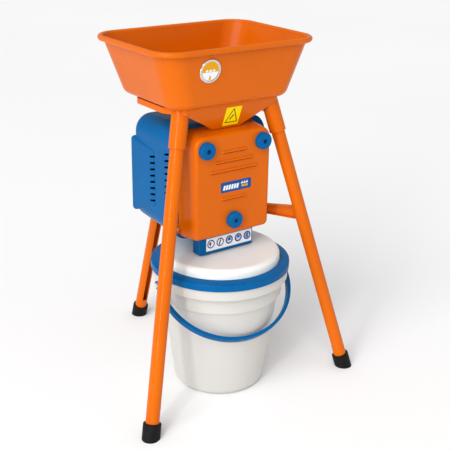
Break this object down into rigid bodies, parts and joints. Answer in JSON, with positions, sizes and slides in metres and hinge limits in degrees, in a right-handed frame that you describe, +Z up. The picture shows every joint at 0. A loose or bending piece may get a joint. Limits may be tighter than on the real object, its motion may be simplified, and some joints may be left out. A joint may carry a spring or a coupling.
{
  "type": "electric crop mill",
  "caption": "Electric fruit and grain mill: tapered hopper over a motor-driven crushing chamber on a three-legged stand, discharging into a lidded bucket with a bail.",
  "frame": {"origin": "on the floor, midway from left to right and 256.5 mm behind the line through the two front feet", "axes": "+Z up, +Y to the single rear leg and the motor, -Y to the front cover"},
  "size_m": [0.6262, 0.5929, 0.85],
  "materials": {
    "orange_paint": "gloss powder coat",
    "blue_plastic": "gloss moulded",
    "blue_paint": "gloss powder coat",
    "white_plastic": "satin moulded polypropylene",
    "black_rubber": "matte",
    "black_plastic": "matte moulded",
    "grey_plastic": "satin",
    "green_plastic": "gloss",
    "red_plastic": "gloss",
    "zinc_steel": "zinc plated",
    "stainless": "satin",
    "hardened_steel": "ground",
    "core_steel": "laminated",
    "cast_aluminium": "as cast",
    "copper": "enamelled copper wire",
    "badge_metal": "chromed rim",
    "yellow_label": "satin sticker",
    "blue_label": "satin sticker",
    "white_label": "satin sticker"
  },
  "bodies": {
    "stand": {"hopper": "orange_paint", "hopper_bolts": "zinc_steel", "hopper_badge": "badge_metal", "support_frame": "orange_paint", "warning_label": "yellow_label", "leg_front_left": "orange_paint", "leg_front_right": "orange_paint", "leg_rear": "orange_paint", "foot_front_left": "black_rubber", "foot_front_right": "black_rubber", "foot_rear": "black_rubber", "leg_bolts": "zinc_steel", "brace_left": "orange_paint", "brace_right": "orange_paint", "brace_bolts": "zinc_steel", "feed_throat": "orange_paint", "mounting_plate": "blue_paint", "motor_casing": "blue_plastic", "casing_screws": "zinc_steel", "cover_studs": "zinc_steel", "cover_seal": "black_rubber", "discharge_chute": "blue_plastic", "pictogram_label": "white_label", "chamber_ring": "zinc_steel", "sieve": "stainless", "front_bearing": "stainless", "rear_bearing": "stainless", "stator_core": "core_steel", "stator_winding": "copper", "front_end_shield": "cast_aluminium", "rear_end_shield": "cast_aluminium", "motor_tie_bolts": "zinc_steel", "capacitor": "grey_plastic", "capacitor_clip": "zinc_steel", "switch_body": "black_plastic", "cable_gland": "black_plastic"},
    "cover": {"cover": "orange_paint", "cover_label": "blue_label"},
    "knob_left": {"knob_left": "blue_plastic"},
    "knob_right": {"knob_right": "blue_plastic"},
    "knob_bottom": {"knob_bottom": "blue_plastic"},
    "gate": {"feed_gate": "zinc_steel", "gate_knob": "black_plastic"},
    "rotor": {"rotor_disc": "stainless", "hammer_pins": "zinc_steel", "rotor_washer": "zinc_steel", "rotor_nut": "zinc_steel", "motor_shaft": "zinc_steel", "motor_rotor_core": "core_steel", "cooling_fan": "black_plastic"},
    "hammer_1": {"hammer_1": "hardened_steel"},
    "hammer_2": {"hammer_2": "hardened_steel"},
    "hammer_3": {"hammer_3": "hardened_steel"},
    "hammer_4": {"hammer_4": "hardened_steel"},
    "on_button": {"on_button": "green_plastic"},
    "off_button": {"off_button": "red_plastic"},
    "bucket": {"bucket": "white_plastic", "bucket_lid": "white_plastic", "lid_ring": "blue_plastic"},
    "bail": {"bail_handle": "blue_plastic"}
  },
  "joints": [
    {"name": "rotor_spin", "type": "hinge", "parent": "stand", "child": "rotor", "pos_m": [0, 0, 0.528], "axis": [0, 1, 0], "continuous": true},
    {"name": "hammer_1_swing", "type": "hinge", "parent": "rotor", "child": "hammer_1", "pos_m": [-0.0297, -0.12, 0.5577], "axis": [0, 1, 0], "continuous": true},
    {"name": "hammer_2_swing", "type": "hinge", "parent": "rotor", "child": "hammer_2", "pos_m": [0.0297, -0.12, 0.5577], "axis": [0, 1, 0], "continuous": true},
    {"name": "hammer_3_swing", "type": "hinge", "parent": "rotor", "child": "hammer_3", "pos_m": [0.0297, -0.12, 0.4983], "axis": [0, 1, 0], "continuous": true},
    {"name": "hammer_4_swing", "type": "hinge", "parent": "rotor", "child": "hammer_4", "pos_m": [-0.0297, -0.12, 0.4983], "axis": [0, 1, 0], "continuous": true},
    {"name": "cover_pull", "type": "slide", "parent": "stand", "child": "cover", "axis": [0, -1, 0], "range_m": [0, 0.09]},
    {"name": "knob_left_turn", "type": "hinge", "parent": "cover", "child": "knob_left", "pos_m": [-0.0785, -0.1643, 0.617], "axis": [0, -1, 0], "continuous": true},
    {"name": "knob_right_turn", "type": "hinge", "parent": "cover", "child": "knob_right", "pos_m": [0.0785, -0.1643, 0.617], "axis": [0, -1, 0], "continuous": true},
    {"name": "knob_bottom_turn", "type": "hinge", "parent": "cover", "child": "knob_bottom", "pos_m": [0, -0.1643, 0.438], "axis": [0, -1, 0], "continuous": true},
    {"name": "gate_slide", "type": "slide", "parent": "stand", "child": "gate", "axis": [0, 1, 0], "range_m": [-0.052, 0]},
    {"name": "bucket_slide", "type": "slide", "parent": "stand", "child": "bucket", "axis": [0, -1, 0], "range_m": [0, 0.42]},
    {"name": "bail_swing", "type": "hinge", "parent": "bucket", "child": "bail", "pos_m": [0, -0.107, 0.29], "axis": [-0.9994, 0.0349, 0], "range_deg": [0, 75]},
    {"name": "on_button_press", "type": "slide", "parent": "stand", "child": "on_button", "axis": [0, -1, 0], "range_m": [0, 0.003], "stiffness_N_per_m": 400},
    {"name": "off_button_press", "type": "slide", "parent": "stand", "child": "off_button", "axis": [0, -1, 0], "range_m": [0, 0.003], "stiffness_N_per_m": 400}
  ]
}
